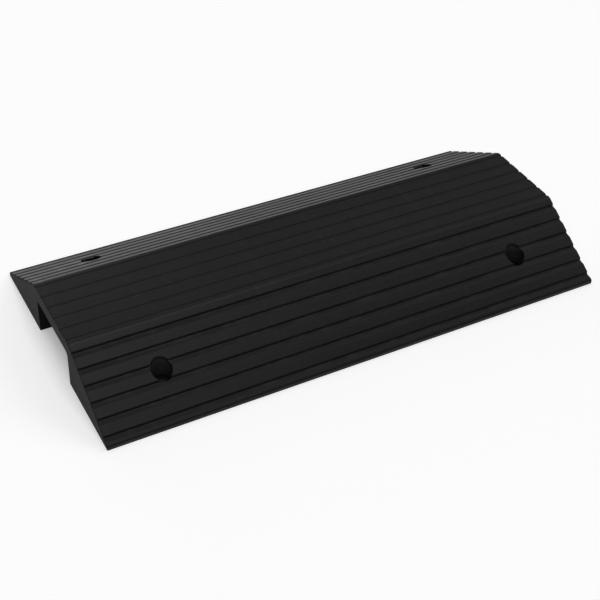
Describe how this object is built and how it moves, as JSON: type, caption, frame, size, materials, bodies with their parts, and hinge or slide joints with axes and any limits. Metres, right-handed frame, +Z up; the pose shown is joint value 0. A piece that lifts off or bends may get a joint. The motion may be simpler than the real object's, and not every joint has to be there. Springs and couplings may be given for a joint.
{
  "type": "portable wheelchair ramp",
  "caption": "Low two-way rubber hump ramp with lengthwise grip ribs, a square channel underneath from end to end, and counterbored fixing holes through both slopes.",
  "frame": {"origin": "middle of the underside, level with the floor the ramp rests on", "axes": "+X along the ramp's length and its ribs, +Y across it in the direction wheels travel, +Z up"},
  "size_m": [0.6, 0.297, 0.06],
  "materials": {
    "rubber": "matte moulded black rubber with a fine grain"
  },
  "bodies": {
    "root": {"ramp_body": "rubber"}
  },
  "joints": []
}
